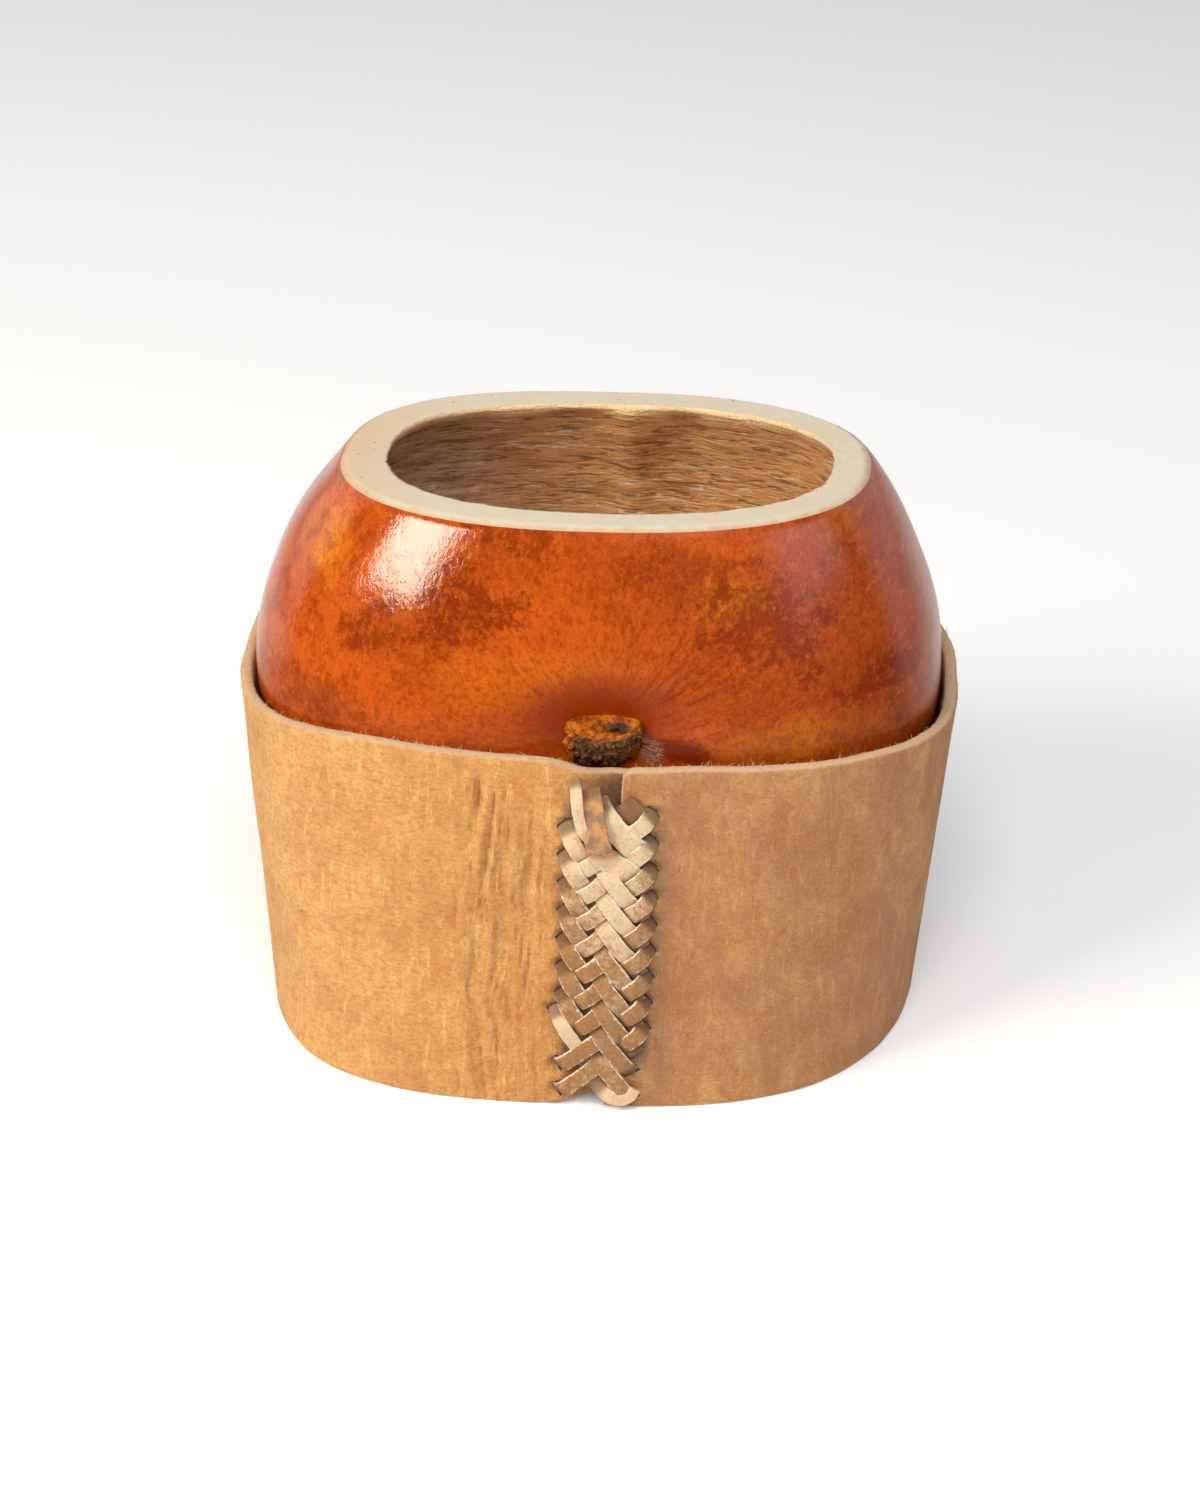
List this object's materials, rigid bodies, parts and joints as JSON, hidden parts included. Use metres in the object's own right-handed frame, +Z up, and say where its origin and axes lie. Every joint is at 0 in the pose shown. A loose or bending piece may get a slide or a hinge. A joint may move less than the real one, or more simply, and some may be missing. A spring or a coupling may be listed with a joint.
{
  "type": "mate gourd cup",
  "caption": "Empty flattened gourd cup with its mouth cut in the edge, standing in a ring of hide laced up the front with a rawhide thong.",
  "frame": {"origin": "middle of the bounding box at the bottom edge of the hide ring, on the table", "axes": "+Z up, -Y towards the front with the lacing and the stem stub, +X along the longest width"},
  "size_m": [0.1141, 0.0988, 0.09],
  "materials": {
    "gourd_shell": "glossy lacquer outside, bare and fibrous inside",
    "suede_hide": "suede",
    "rawhide_thong": "matte"
  },
  "bodies": {
    "root": {"gourd": "gourd_shell", "band": "suede_hide", "lacing": "rawhide_thong"}
  },
  "joints": []
}
